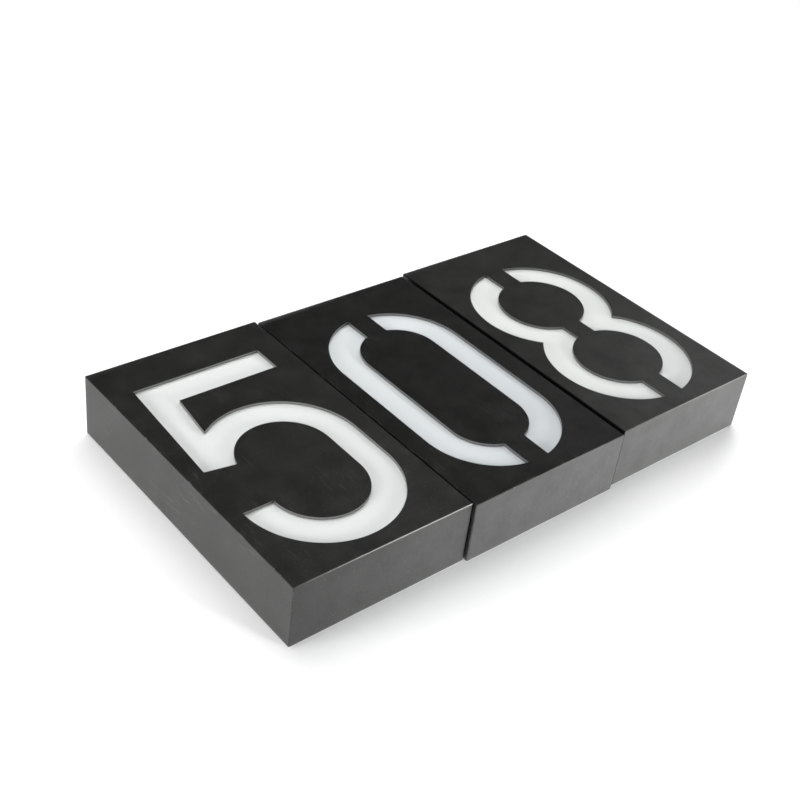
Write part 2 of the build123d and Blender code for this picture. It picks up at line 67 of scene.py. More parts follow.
class Value:
    """A number that changes over a surface. Python's operators add its Math nodes."""

    def __init__(self, finish, socket):
        self.finish = finish
        self.socket = socket

    def join(self, operation, *others):
        inputs = dict(enumerate((self, *others)))
        return self.finish.node("ShaderNodeMath", {"operation": operation}, inputs)

    def __add__(self, other):
        return self.join("ADD", other)

    def __mul__(self, other):
        return self.join("MULTIPLY", other)

    def __sub__(self, other):
        return self.join("SUBTRACT", other)

    def __rsub__(self, other):
        return self.finish.node("ShaderNodeMath", {"operation": "SUBTRACT"}, {0: other, 1: self})

    def __lt__(self, other):
        return self.join("LESS_THAN", other)

    def __abs__(self):
        return self.join("ABSOLUTE")

    __radd__ = __add__
    __rmul__ = __mul__

    def least(self, other):
        return self.join("MINIMUM", other)

    def most(self, other):
        return self.join("MAXIMUM", other)

    def folded(self, pitch):
        """Distance to the nearest whole number of pitches."""
        return self.join("PINGPONG", pitch / 2)


class Finish:
    """One material's node tree, with the nodes added as they are asked for."""

    def __init__(self, name, tree=None):
        if tree is None:
            self.material = bpy.data.materials.new(name)
            self.material.use_nodes = True
            tree = self.material.node_tree
        self.tree = tree
        self.tree.nodes.clear()

    def node(self, kind, settings=None, inputs=None, output=0):
        """Adds a node, with its settings set before its sockets are filled, and returns one output."""
        made = self.tree.nodes.new(kind)
        for name, setting in (settings or {}).items():
            setattr(made, name, setting)
        for name, given in (inputs or {}).items():
            if isinstance(given, Value):
                self.tree.links.new(given.socket, made.inputs[name])
            elif isinstance(given, tuple) and made.inputs[name].type == "RGBA":
                made.inputs[name].default_value = (*given, 1.0)
            else:
                made.inputs[name].default_value = given
        return Value(self, made.outputs[output]) if made.outputs else made

    def outputs(self, kind, names, inputs=None):
        """Several outputs of one node."""
        sockets = self.node(kind, inputs=inputs).socket.node.outputs
        return [Value(self, sockets[name]) for name in names]

    def spot(self, centre=ORIGIN, turn=(0.0, 0.0, 0.0), stretch=(1.0, 1.0, 1.0)):
        """The point on the piece, measured from a centre in millimetres and given in metres."""
        inside = self.node("ShaderNodeTexCoord", output="Object")
        place = tuple(-c * MM * s for c, s in zip(centre, stretch))
        return self.node("ShaderNodeMapping", inputs={
            "Vector": inside, "Location": place, "Rotation": turn, "Scale": stretch})

    def axes(self, point):
        """X, Y and Z of a point, in millimetres."""
        parts = self.outputs("ShaderNodeSeparateXYZ", "XYZ", {"Vector": point})
        return [part * (1 / MM) for part in parts]

    def noise(self, point, size, detail, roughness=0.5):
        """Cloudy variation from about 0.3 to 0.7, with lumps of that size in millimetres."""
        return self.node("ShaderNodeTexNoise", inputs={
            "Vector": point, "Scale": 1 / (size * MM), "Detail": detail, "Roughness": roughness})

    def fade(self, value, low, high):
        """0 at low, 1 at high, with a smooth turn between them."""
        return self.node("ShaderNodeMapRange", {"interpolation_type": "SMOOTHSTEP"}, {
            "Value": value, "From Min": low, "From Max": high})

    def blend(self, share, first, second):
        """The first colour where the share is 0, and the second one where it is 1."""
        return self.node("ShaderNodeMix", {"data_type": "RGBA"}, {
            0: share, 6: first, 7: second}, output=2)

    def bump(self, height, depth, strength):
        """Raised detail of that depth in millimetres."""
        return self.node("ShaderNodeBump", inputs={
            "Height": height, "Distance": depth * MM, "Strength": strength})

    def rays(self):
        """1 for what the camera sees, and 1 for what shows in gloss or through something clear."""
        camera, glossy, through = self.outputs(
            "ShaderNodeLightPath", ("Is Camera Ray", "Is Glossy Ray", "Is Transmission Ray"))
        return camera, (glossy + through).least(1.0)

    def shader(self, **inputs):
        """The surface shader, its sockets given in small letters with underscores."""
        names = {key.replace("_", " ").title(): given for key, given in inputs.items()}
        fixed = {"Ior": "IOR", "Coat Ior": "Coat IOR"}
        named = {fixed.get(key, key): given for key, given in names.items()}
        return self.node("ShaderNodeBsdfPrincipled", inputs=named)

    def done(self, surface):
        self.node("ShaderNodeOutputMaterial", inputs={"Surface": surface})
        return self.material


# ---------------------------------------------------------------- finishes

# How one tile's black coat differs from the others':
# tone and film are how light the black is, and how much dust lies towards the near right corner;
# sheen and slope are the coat's gloss at the middle, set for each tile as painted light on its walls,
# and the part of it gained at the right edge, a painted light gradient;
# flecks, rim and glint are more specks, a painted reflection along the top edge and a painted
# highlight on the front fold;
# cut and shaded are painted light that turns the walls of the numeral's opening grey, and painted
# shade that darkens the left wall.
Coat = namedtuple("Coat", "tone film sheen slope flecks rim glint cut shaded")
COATS = {
    "5": Coat(0.92, 0.09, 0.34, 0.85, flecks=0.0, rim=0.10, glint=0.85, cut=0.85, shaded=0.0),
    "0": Coat(0.48, 0.06, 1.07, 0.10, flecks=0.03, rim=0.40, glint=0.25, cut=0.55, shaded=0.0),
    "8": Coat(1.08, 0.42, 0.74, -0.15, flecks=0.0, rim=0.25, glint=0.60, cut=0.35, shaded=1.0),
}

# x - y just inside a tile's near right corner.
NEAR_RIGHT = sum(TILE_HALF) - 0.5


def make_black_paint(tile, coat):
    """Satin black coat on sheet steel: mottled, dusty towards one corner, rubbed along the folds, with
    painted light and shade on its walls and edges.
    """
    paint = Finish(f"black_paint_{tile.digit}")
    point = paint.spot((tile.x, tile.y, 0.0))
    x, y, z = paint.axes(point)

    # Distances in from the side walls, the end walls and the face. Two of them are 0 on a fold, so
    # the middle one of the three is the distance from the nearest fold.
    across = TILE_HALF[0] - abs(x)
    along = TILE_HALF[1] - abs(y)
    down = TILE_TOP - z
    fold = across.least(along).most(across.most(along).least(down))

    corner = paint.fade(x - y, -60.0, NEAR_RIGHT)
    clouds = paint.noise(point, 17.0, 5.0, 0.65)
    streaks = paint.noise(paint.spot(stretch=(1.0, 1.0, 0.12)), 2.6, 3.0, 0.6)
    grain = paint.noise(point, 1.6, 3.0, 0.65)

    dust = paint.fade(paint.noise(point, 0.8, 1.0) + corner * 0.04 + coat.flecks, 0.71, 0.77)
    # Painted reflection: a light band along the top edge, where the bend of the fold would catch the
    # light.
    painted_top_edge_reflection = paint.fade(y + clouds * 3.0 - x * 0.02, 85.6, 88.4) * paint.fade(x, 45.0, -30.0)
    # Painted light: the lowest few millimetres of the walls are lightened, against the floor's shadow
    # that they reflect.
    foot = paint.fade(z + grain * 1.5, 2.6, 1.2) * 0.35

    lengthwise = paint.noise(paint.spot(stretch=(1.0, 0.07, 1.0)), 0.7, 2.0)
    slanting = paint.noise(paint.spot(turn=(0.0, 0.0, 0.9), stretch=(1.0, 0.05, 1.0)), 0.6, 2.0)
    scratches = (paint.fade(lengthwise, 0.63, 0.70) + paint.fade(slanting, 0.65, 0.71)).least(1.0)
    handled = paint.fade(paint.noise(point, 26.0, 2.0), 0.46, 0.62)

    wear = paint.noise(point, 2.4, 4.0, 0.7) + paint.fade(x - y, NEAR_RIGHT - 25.0, NEAR_RIGHT) * 0.07
    rub = paint.fade(fold, 0.55, 0.12) * paint.fade(wear, 0.60, 0.70)
    # Painted highlight: a light stripe along the front fold, where its bend would catch the light.
    front_fold = paint.fade(along.most(down), 0.50, 0.24) * (y < 0.0)
    painted_fold_highlight = front_fold * paint.fade(x + clouds * 40.0, -45.0, 35.0) * coat.glint

    # Painted light: the walls of the numeral's opening are turned grey, standing in for the opal's
    # light falling on them.
    in_sheet = paint.fade(down, 0.03, 0.12) * paint.fade(down, SHEET - 0.01, SHEET - 0.08)
    cut = in_sheet * paint.fade(across.least(along), 2.5, 3.5)
    # Painted shade: where shaded is set, the left wall is darkened and its gloss cut, as if in shadow
    # in the gap beside the next tile.
    painted_gap_shade = paint.fade(x, 0.7 - TILE_HALF[0], 0.25 - TILE_HALF[0]) * coat.shaded

    dark = tuple(coat.tone * c for c in (0.0120, 0.0122, 0.0116))
    light = tuple(coat.tone * c for c in (0.0190, 0.0192, 0.0184))
    colour = paint.blend(paint.fade(clouds, 0.32, 0.68), dark, light)
    colour = paint.blend(corner * coat.film * (0.55 + clouds * 0.9), colour, (0.075, 0.077, 0.075))
    # Painted reflection along the top edge.
    colour = paint.blend(painted_top_edge_reflection * coat.rim, colour, (0.085, 0.086, 0.083))
    colour = paint.blend(scratches * handled * 0.55, colour, (0.080, 0.081, 0.079))
    colour = paint.blend(dust * 0.45, colour, (0.16, 0.16, 0.155))
    # Painted light at the foot of the walls.
    colour = paint.blend(foot, colour, (0.10, 0.10, 0.098))
    # Painted light on the walls of the numeral's opening.
    colour = paint.blend(cut * coat.cut, colour, (0.11, 0.11, 0.108))
    colour = paint.blend(rub * 0.8, colour, (0.36, 0.36, 0.35))
    # Painted highlight on the front fold.
    colour = paint.blend(painted_fold_highlight, colour, (0.42, 0.42, 0.41))
    # Painted shade on the left wall.
    colour = paint.blend(painted_gap_shade, colour, (0.004, 0.004, 0.004))

    # The mottle from clouds and streaks is the coat's own. Painted light: the gloss level of each
    # tile, and its slope from left to right, copy how brightly its walls are lit; beside the gap it is
    # cut, as painted shade.
    sheen = (0.32 + clouds * 0.80 + streaks * 0.16) * coat.sheen * (1.0 - painted_gap_shade * 0.9)
    sheen = sheen * (1.0 + x * (coat.slope / TILE_HALF[0]))
    return paint.done(paint.shader(
        base_color=colour, roughness=0.34 + clouds * 0.08 + grain * 0.06 + dust * 0.2,
        metallic=rub * 0.6, ior=1.5,
        coat_weight=sheen, coat_ior=1.8, coat_roughness=0.36,
        normal=paint.bump(grain, 0.012, 0.5)))


# The opal's colour at the far left, and the darker one that it turns to at the near right, a painted
# shade.
OPAL_SHADES = {
    "5": ((0.76, 0.78, 0.77), (0.76, 0.78, 0.77)),
    "0": ((0.73, 0.76, 0.77), (0.63, 0.66, 0.68)),
    "8": ((0.78, 0.80, 0.78), (0.69, 0.71, 0.70)),
}


def make_opal_acrylic(tile, bright, dull):
    """Milky acrylic sheet with a polished face, with painted shade that dims it towards one corner."""
    opal = Finish(f"opal_acrylic_{tile.digit}")
    point = opal.spot((tile.x, tile.y, 0.0))
    x, y, _ = opal.axes(point)
    specks = opal.fade(opal.noise(point, 0.8, 1.0), 0.72, 0.80)
    # Painted shade towards the near right.
    colour = opal.blend(opal.fade(x - y, -60.0, 120.0), bright, dull)
    colour = opal.blend(specks * 0.20, colour, (0.45, 0.45, 0.44))
    return opal.done(opal.shader(
        base_color=colour, roughness=0.26, ior=1.49,
        subsurface_weight=0.7, subsurface_radius=(1.0, 1.0, 1.0), subsurface_scale=0.0022))


def make_moulding(name, light, dark, roughness, texture=0.35, depth=0.015):
    """Moulded plastic or rubber with a fine spark-eroded texture."""
    plastic = Finish(name)
    point = plastic.spot()
    clouds = plastic.noise(point, 14.0, 3.0)
    pits = plastic.noise(point, texture, 2.0, 0.6)
    colour = plastic.blend(plastic.fade(clouds, 0.35, 0.65), dark, light)
    return plastic.done(plastic.shader(
        base_color=colour, roughness=roughness + clouds * 0.10,
        normal=plastic.bump(pits, depth, 0.6)))


def make_plated_steel(name, colour, roughness):
    """Plated sheet with a drawn grain and slightly dull patches."""
    metal = Finish(name)
    grain = metal.noise(metal.spot(stretch=(1.0, 1.0, 12.0)), 1.2, 3.0, 0.6)
    patches = metal.noise(metal.spot(), 3.5, 3.0, 0.6)
    dull = tuple(c * 0.75 for c in colour)
    shade = metal.blend(metal.fade(patches, 0.35, 0.68), dull, colour)
    return metal.done(metal.shader(
        base_color=shade, metallic=0.55, roughness=roughness + grain * 0.12 + patches * 0.08,
        normal=metal.bump(grain, 0.01, 0.4)))


def make_clear_pane():
    """Clear polycarbonate with a little haze."""
    pane = Finish("clear_pane")
    haze = pane.noise(pane.spot(), 12.0, 2.0)
    return pane.done(pane.shader(
        base_color=(0.94, 0.97, 0.96), roughness=0.03 + haze * 0.04, ior=1.58,
        transmission_weight=1.0))


def make_white_board():
    """White solder mask with faint tracks under it."""
    board = Finish("board_white")
    point = board.spot()
    x, _, _ = board.axes(point)
    cloud = board.noise(point, 9.0, 3.0)
    track = board.fade(x.folded(9.0), 0.7, 0.55)
    colour = board.blend(board.fade(cloud, 0.35, 0.65), (0.60, 0.61, 0.60), (0.66, 0.67, 0.66))
    colour = board.blend(track * 0.35, colour, (0.56, 0.57, 0.51))
    return board.done(board.shader(
        base_color=colour, roughness=0.34, normal=board.bump(track, 0.03, 0.6)))


def make_green_board():
    """Green solder mask over copper tracks."""
    board = Finish("board_green")
    point = board.spot()
    x, y, _ = board.axes(point)
    lanes = board.fade((x + y * 0.5).folded(2.4), 0.52, 0.42)
    runs = board.fade(board.noise(point, 6.0, 1.0), 0.48, 0.50)
    track = lanes * runs
    colour = board.blend(track, (0.012, 0.085, 0.035), (0.030, 0.165, 0.060))
    return board.done(board.shader(
        base_color=colour, roughness=0.30, coat_weight=0.3,
        normal=board.bump(track, 0.035, 0.8)))


def make_solar_cells(tile):
    """Dark blue cells with silver fingers under clear resin, on a dull black board."""
    panel = Finish(f"solar_cells_{tile.digit}")
    point = panel.spot((tile.x, tile.y, 0.0))
    _, y, z = panel.axes(point)
    cells = panel.fade(y, 83.42, 83.46)
    crystals = panel.node("ShaderNodeTexVoronoi", {"feature": "F1"}, {
        "Vector": point, "Scale": 450.0}, output="Color")
    shine = panel.node("ShaderNodeSeparateColor", inputs={"Color": crystals})
    fingers = panel.fade(z.folded(1.7), 0.10, 0.06)
    cell = panel.blend(shine * 0.8, (0.008, 0.013, 0.050), (0.016, 0.030, 0.105))
    cell = panel.blend(fingers, cell, (0.42, 0.43, 0.45))
    colour = panel.blend(cells, (0.014, 0.015, 0.016), cell)
    return panel.done(panel.shader(
        base_color=colour, roughness=0.50 - cells * 0.34 + shine * 0.05, coat_weight=cells,
        coat_roughness=0.05))


def make_sleeve():
    """Plain shrink sleeve on a rechargeable cell, drawn a little along its length."""
    sleeve = Finish("cell_sleeve")
    pull = sleeve.noise(sleeve.spot(stretch=(0.15, 1.0, 1.0)), 2.5, 2.0)
    colour = sleeve.blend(sleeve.fade(pull, 0.3, 0.7), (0.026, 0.190, 0.080), (0.032, 0.225, 0.096))
    return sleeve.done(sleeve.shader(
        base_color=colour, roughness=0.24 + pull * 0.08, normal=sleeve.bump(pull, 0.008, 0.4)))


PAINTS = {tile.digit: make_black_paint(tile, COATS[tile.digit]) for tile in TILES}
OPALS = {tile.digit: make_opal_acrylic(tile, *OPAL_SHADES[tile.digit]) for tile in TILES}
PANELS = {tile.digit: make_solar_cells(tile) for tile in TILES}
ZINC = make_plated_steel("zinc_steel", (0.55, 0.56, 0.58), 0.34)
SPRING = make_plated_steel("spring_steel", (0.60, 0.60, 0.60), 0.20)
SCREW = make_plated_steel("screw_steel", (0.60, 0.60, 0.58), 0.26)
NICKEL = make_plated_steel("contact_nickel", (0.66, 0.62, 0.55), 0.24)
TIN = make_plated_steel("switch_can", (0.62, 0.62, 0.61), 0.28)
PACKAGE = make_moulding(
    "component_plastic", (0.030, 0.030, 0.031), (0.022, 0.022, 0.023), 0.42, 0.2, 0.006)
KNOB = make_moulding("knob_plastic", (0.028, 0.028, 0.029), (0.020, 0.020, 0.021), 0.38)
NYLON = make_moulding("plug_nylon", (0.72, 0.70, 0.64), (0.66, 0.64, 0.58), 0.42, 0.3, 0.004)
PHOSPHOR = make_moulding("led_phosphor", (0.86, 0.66, 0.16), (0.80, 0.58, 0.12), 0.34, 0.12, 0.004)
SLEEVE = make_sleeve()

# The finish of each kind of CAD node. A dictionary holds one finish for each tile.
FINISHES = {
    "front_shell": PAINTS,
    "diffuser": OPALS,
    "solar_panel": PANELS,
    "diffuser_brackets": ZINC,
    "solar_window": make_clear_pane(),
    "back_tray": make_moulding("tray_plastic", (0.034, 0.035, 0.037), (0.026, 0.027, 0.029), 0.52),
    "tray_gasket": make_moulding("gasket_rubber", (0.016, 0.016, 0.016), (0.010, 0.010, 0.010), 0.72),
    "spring_clips": SPRING,
    "reflector": make_moulding("reflector_white", (0.68, 0.68, 0.67), (0.64, 0.64, 0.63), 0.50),
    "led_board": make_white_board(),
    "leds": make_moulding("led_package", (0.80, 0.80, 0.77), (0.76, 0.76, 0.73), 0.30, 0.2, 0.004),
    "board_screws": SCREW,
    "battery_cell": SLEEVE,
    "battery_contacts": NICKEL,
    "control_board": make_green_board(),
    "board_components": PACKAGE,
    "switch_body": TIN,
    "switch_knob": KNOB,
    "red_wires": make_moulding(
        "wire_red", (0.50, 0.022, 0.018), (0.40, 0.016, 0.014), 0.36, 0.3, 0.004),
    "black_wires": make_moulding(
        "wire_black", (0.020, 0.020, 0.020), (0.014, 0.014, 0.014), 0.36, 0.3, 0.004),
}


def dress(piece, finish, digit):
    """Gives a piece its only material, which is the tile's own where the finish has one for each."""
    piece.data.materials.clear()
    piece.data.materials.append(finish[digit] if isinstance(finish, dict) else finish)


def dress_cad_nodes():
    """Gives each CAD node the finish of its kind."""
    for name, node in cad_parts.items():
        kind, digit = name.rsplit("_", 1)
        dress(node, FINISHES[kind], digit)


# ---------------------------------------------------------------- modelling by hand

def choose(*pieces):
    """Selects these pieces alone, with the first one active."""
    bpy.ops.object.select_all(action="DESELECT")
    for piece in pieces:
        piece.select_set(True)
    bpy.context.view_layer.objects.active = pieces[0]


def start(add, name, centre, **size):
    """A new primitive as the only selected object, with its centre given in millimetres."""
    bpy.ops.object.select_all(action="DESELECT")
    add(location=[c * MM for c in centre], **size)
    piece = bpy.context.object
    piece.name = piece.data.name = name
    bpy.ops.object.transform_apply(location=True, rotation=True, scale=True)
    return piece


def start_block(name, size, centre):
    return start(bpy.ops.mesh.primitive_cube_add, name, centre, size=1.0, scale=[s * MM for s in size])


def start_rod(name, radius, length, centre, turn=(0.0, 0.0, 0.0), sides=32):
    return start(
        bpy.ops.mesh.primitive_cylinder_add, name, centre, radius=radius * MM,
        depth=length * MM, vertices=sides, rotation=turn)


@contextmanager
def shaping(piece):
    """Edit mode on one piece, with nothing selected at the start."""
    choose(piece)
    bpy.ops.object.mode_set(mode="EDIT")
    bpy.ops.mesh.select_all(action="DESELECT")
    yield
    bpy.ops.object.mode_set(mode="OBJECT")


def pick_faces(x=0.0, y=0.0, z=0.0):
    """Selects the faces that look along a direction."""
    bpy.ops.mesh.select_mode(type="FACE")
    mesh = bmesh.from_edit_mesh(bpy.context.edit_object.data)
    for face in mesh.faces:
        face.select_set(face.normal.dot(Vector((x, y, z))) > 0.9)
    bmesh.update_edit_mesh(bpy.context.edit_object.data)


def pick_upright_edges():
    bpy.ops.mesh.select_mode(type="EDGE")
    mesh = bmesh.from_edit_mesh(bpy.context.edit_object.data)
    for edge in mesh.edges:
        first, second = (vertex.co for vertex in edge.verts)
        edge.select_set(abs((second - first).normalized().z) > 0.9)
    bmesh.update_edit_mesh(bpy.context.edit_object.data)


def push(x=0.0, y=0.0, z=0.0):
    """Extrudes what is selected by millimetres."""
    bpy.ops.mesh.extrude_region_move(
        TRANSFORM_OT_translate={"value": (x * MM, y * MM, z * MM)})


def inset(width):
    bpy.ops.mesh.inset(thickness=width * MM)


def round_edges(width, segments):
    bpy.ops.mesh.bevel(offset=width * MM, segments=segments)


def scale_about(centre, x=1.0, y=1.0, z=1.0):
    bpy.ops.transform.resize(value=(x, y, z), center_override=[c * MM for c in centre])


def soften(piece, width, segments):
    """Rounds the sharp edges of a finished piece."""
    bevel = piece.modifiers.new("rounding", "BEVEL")
    bevel.width, bevel.segments = width * MM, segments
    bevel.limit_method, bevel.angle_limit = "ANGLE", math.radians(40.0)
    choose(piece)
    bpy.ops.object.modifier_apply(modifier="rounding")


def copied(piece, moves):
    """Copies of a piece at several places, each with its own mesh; the first one stays."""
    copies = []
    for move in moves:
        twin = piece.copy()
        twin.data = piece.data.copy()
        bpy.context.scene.collection.objects.link(twin)
        twin.data.transform(Matrix.Translation([m * MM for m in move]))
        copies.append(twin)
    return copies


def join(name, members):
    """One piece out of several."""
    choose(*members)
    bpy.ops.object.join()
    piece = members[0]
    piece.name = piece.data.name = name
    return piece


def repeat(piece, name, moves):
    """One piece made of copies of another, which is dropped."""
    row = join(name, copied(piece, moves))
    bpy.data.objects.remove(piece)
    return row


def fit_to_tiles(piece, name, finish, body="tray", replaces=None, angle=35.0):
    """Smooths a piece modelled about a tile's middle, copies it into each tile and drops it."""
    choose(piece)
    bpy.ops.object.shade_smooth_by_angle(angle=math.radians(angle))
    for tile in TILES:
        twin, = copied(piece, [(tile.x, tile.y, 0.0)])
        twin.name = twin.data.name = f"{name}_{tile.digit}"
        dress(twin, finish, tile.digit)
        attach(twin, f"{body}_{tile.digit}")
        if replaces:
            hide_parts(f"{replaces}_{tile.digit}")
    bpy.data.objects.remove(piece)


# ---------------------------------------------------------------- control board's parts

# The top of both boards, and where each part sits on the control board.
BOARD = 8.0
CHIP = (29.5, 69.2)
COIL = (21.5, 73.5)
DIODE = (21.0, 68.9)
CAPACITOR = (35.2, 64.8)
SWITCH = (39.0, 70.0)
RESISTORS = ((36.5, 74.6), (39.5, 74.6), (42.0, 74.6))

# Each plug's middle, and the end that its two leads leave by: -1 for the lower end, 1 for the upper.
# LEADS is how far each lead lies to the side of that middle. The first plug's leads end at LED_JOINT.
PLUGS = ((18.0, 64.85, -1), (26.0, 64.85, -1), (30.0, 73.75, 1))
LEADS = (-0.85, 0.85)
LED_JOINT = (18.0, 56.0)


def model_plugs():
    """Two-way plugs in open headers: rim, pocket, keyed sides and a mouth for each lead."""
    made = []
    for x, y, side in PLUGS:
        header = start_block("header", (6.0, 4.5, 5.0), (x, y, BOARD + 2.5))
        with shaping(header):
            pick_upright_edges()
            round_edges(0.35, 2)
            pick_faces(z=1)
            inset(0.5)
            push(z=-0.7)
            inset(0.25)
            push(z=0.45)
        made.append(header)
        for lead in LEADS:
            mouth = start_rod(
                "mouth", 0.80, 0.5, (x + lead, y + side * 2.45, BOARD + 2.5),
                (math.pi / 2, 0.0, 0.0), 20)
            with shaping(mouth):
                pick_faces(y=side)
                inset(0.15)
                push(y=-side * 0.35)
            made.append(mouth)
        made.append(start_block("rib", (1.0, 0.35, 3.4), (x, y - side * 2.40, BOARD + 1.7)))
    housings = join("housings", made)
    fit_to_tiles(housings, "plug_housings", NYLON, replaces="board_components")


def model_chip():
    """Eight-leg package with a sunk dot at its first leg."""
    x, y = CHIP
    package = start_block("chip", (4.9, 2.6, 1.30), (x, y, BOARD + 0.80))
    with shaping(package):
        pick_faces(z=1)
        scale_about((x, y, 0.0), 0.95, 0.90)
        inset(0.08)
    dot = start_rod("dot", 0.28, 0.10, (x - 1.6, y - 0.75, BOARD + 1.42), sides=16)
    with shaping(dot):
        pick_faces(z=1)
        inset(0.06)
        push(z=-0.05)
    return [package, dot]


def model_coil():
    """Shielded coil: a square case with cut corners round its core."""
    case = start_block("coil", (6.0, 6.0, 2.7), (*COIL, BOARD + 1.35))
    with shaping(case):
        pick_upright_edges()
        round_edges(1.1, 3)
        pick_faces(z=1)
        inset(0.25)
        push(z=-0.12)
    core = start_rod("core", 2.3, 0.5, (*COIL, BOARD + 2.75))
    with shaping(core):
        pick_faces(z=1)
        inset(0.25)
        push(z=-0.10)
    return [case, core]


def model_packages():
    """Moulded packages: chip with its dot, shielded coil, diode and three resistors."""
    diode = start_block("diode", (2.8, 1.8, 1.1), (*DIODE, BOARD + 0.60))
    with shaping(diode):
        pick_faces(z=1)
        scale_about((*DIODE, 0.0), 0.90, 0.86)
    films = [start_block("film", (1.10, 1.36, 0.50), (*place, BOARD + 0.28)) for place in RESISTORS]
    made = [*model_chip(), *model_coil(), diode, *films]
    for member in made:
        soften(member, 0.06, 2)
    packages = join("packages", made)
    fit_to_tiles(packages, "board_packages", PACKAGE, replaces="board_components")


def model_chip_legs():
    """Legs that step down from the chip's two long sides to the board."""
    legs, pitch = [], 1.27
    for step in range(4):
        for side in (-1, 1):
            x = CHIP[0] + (step - 1.5) * pitch
            leg = start_block("leg", (0.42, 0.40, 0.16), (x, CHIP[1] + side * 1.36, BOARD + 0.80))
            with shaping(leg):
                pick_faces(y=side)
                push(y=side * 0.16, z=-0.62)
                push(y=side * 0.42)
            legs.append(leg)
    return legs


def model_can():
    """Capacitor's can: rolled groove near the foot, sloped shoulder and a sunk top."""
    can = start_rod("can", 2.38, 0.9, (*CAPACITOR, BOARD + 0.45), sides=40)
    with shaping(can):
        pick_faces(z=1)
        for rise, share in ((0.30, 0.90), (0.25, 1.0), (0.25, 1.11), (4.10, 1.0), (0.18, 0.93)):
            push(z=rise)
            scale_about((*CAPACITOR, 0.0), share, share)
        inset(0.25)
        push(z=-0.12)
    return can


def model_board_metal():
    """Tinned parts: chip legs, capacitor can, diode and resistor ends and the plugs' feet."""
    made = [*model_chip_legs(), model_can()]
    for side in (-1, 1):
        x, y = DIODE[0] + side * 1.55, DIODE[1]
        made.append(start_block("tab", (0.55, 1.30, 0.55), (x, y, BOARD + 0.28)))
    for x, y in RESISTORS:
        for side in (-1, 1):
            made.append(start_block("end", (1.16, 0.34, 0.56), (x, y + side * 0.82, BOARD + 0.28)))
    for x, y, side in PLUGS:
        for lead in LEADS:
            made.append(start_block("pin", (0.5, 0.7, 0.4), (x + lead, y - side * 2.55, BOARD + 0.2)))
    for member in made:
        soften(member, 0.05, 1)
    metal = join("metal", made)
    fit_to_tiles(metal, "board_metal", TIN, replaces="board_components")


def model_solder():
    """Domed joints where the LED leads end on their board."""
    made = []
    x, y = LED_JOINT
    for lead in LEADS:
        joint = start_rod("joint", 0.80, 0.12, (x + lead, y, BOARD + 0.06), sides=20)
        with shaping(joint):
            pick_faces(z=1)
            for rise, share in ((0.35, 0.90), (0.35, 0.74), (0.20, 0.50)):
                push(z=rise)
                scale_about((x + lead, y, 0.0), share, share)
        made.append(joint)
    fit_to_tiles(join("solder", made), "lead_solder", TIN, angle=60.0)


# ---------------------------------------------------------------- light box

# Three columns of five LEDs, a little below the tile's middle.
LED_PITCH = (18.0, 24.0)
LED_MIDDLE = -6.0
LED_SPOTS = [
    (column * LED_PITCH[0], LED_MIDDLE + row * LED_PITCH[1], 0.0)
    for column in (-1, 0, 1) for row in (-2, -1, 0, 1, 2)
]


def model_phosphor():
    """Slightly domed phosphor in the well of each LED."""
    dome = start_rod("dome", 1.13, 0.10, (0.0, 0.0, BOARD + 0.70), sides=24)
    with shaping(dome):
        pick_faces(z=1)
        for rise, share in ((0.035, 0.80), (0.020, 0.70), (0.010, 0.50)):
            push(z=rise)
            scale_about(ORIGIN, share, share)
    domes = repeat(dome, "domes", LED_SPOTS)
    fit_to_tiles(domes, "led_phosphor", PHOSPHOR, angle=60.0)


def model_led_feet():
    """Folded terminals at both ends of each LED, with their solder."""
    made = []
    for side in (-1, 1):
        foot = start_block("foot", (0.45, 1.9, 0.10), (side * 1.95, 0.0, BOARD + 0.05))
        with shaping(foot):
            pick_faces(z=1)
            push(z=0.32)
            scale_about((side * 1.76, 0.0, 0.0), 0.35, 0.92)
        made.append(foot)
    feet = repeat(join("pair", made), "feet", LED_SPOTS)
    fit_to_tiles(feet, "led_feet", TIN)


# ---------------------------------------------------------------- cell, switch, panel and front

CELL_Y, CELL_Z, CELL_R = 71.9, 10.4, 7.25
CELL_LEFT, CELL_RIGHT = -41.5, 7.7
CELL_AXIS = (0.0, CELL_Y, CELL_Z)
ALONG_X = (0.0, math.pi / 2, 0.0)


def model_cell_sleeve():
    """Shrink sleeve rolled over both rims of the can."""
    rims = 1.4
    middle = ((CELL_LEFT + CELL_RIGHT) / 2, CELL_Y, CELL_Z)
    sleeve = start_rod("sleeve", CELL_R, CELL_RIGHT - CELL_LEFT - rims, middle, ALONG_X, 64)
    with shaping(sleeve):
        for side in (-1, 1):
            pick_faces(x=side)
            for travel, share in (
                    (0.35, 0.985), (0.25, 0.965), (0.10, 0.93), (0.0, 0.88), (-0.35, 0.985)):
                push(x=side * travel)
                scale_about(CELL_AXIS, 1.0, share, share)
    fit_to_tiles(sleeve, "cell_sleeve", SLEEVE, replaces="battery_cell")


def model_cell_caps():
    """The steel can's two ends and the raised button."""
    ends = []
    for side, x in ((-1, CELL_LEFT), (1, CELL_RIGHT)):
        plate = start_rod("plate", 5.7, 0.5, (x - side * 0.40, CELL_Y, CELL_Z), ALONG_X, 48)
        with shaping(plate):
            pick_faces(x=side)
            inset(0.9)
            push(x=-side * 0.08)
            inset(1.4)
            push(x=side * 0.12)
        ends.append(plate)
    button = start_rod("button", 2.75, 1.0, (CELL_RIGHT + 0.35, CELL_Y, CELL_Z), ALONG_X, 40)
    with shaping(button):
        pick_faces(x=1)
        for travel, share in ((0.25, 0.96), (0.15, 0.90)):
            push(x=travel)
            scale_about(CELL_AXIS, 1.0, share, share)
        inset(0.5)
        push(x=-0.05)
    caps = join("caps", [*ends, button])
    fit_to_tiles(caps, "cell_caps", NICKEL, replaces="battery_cell")


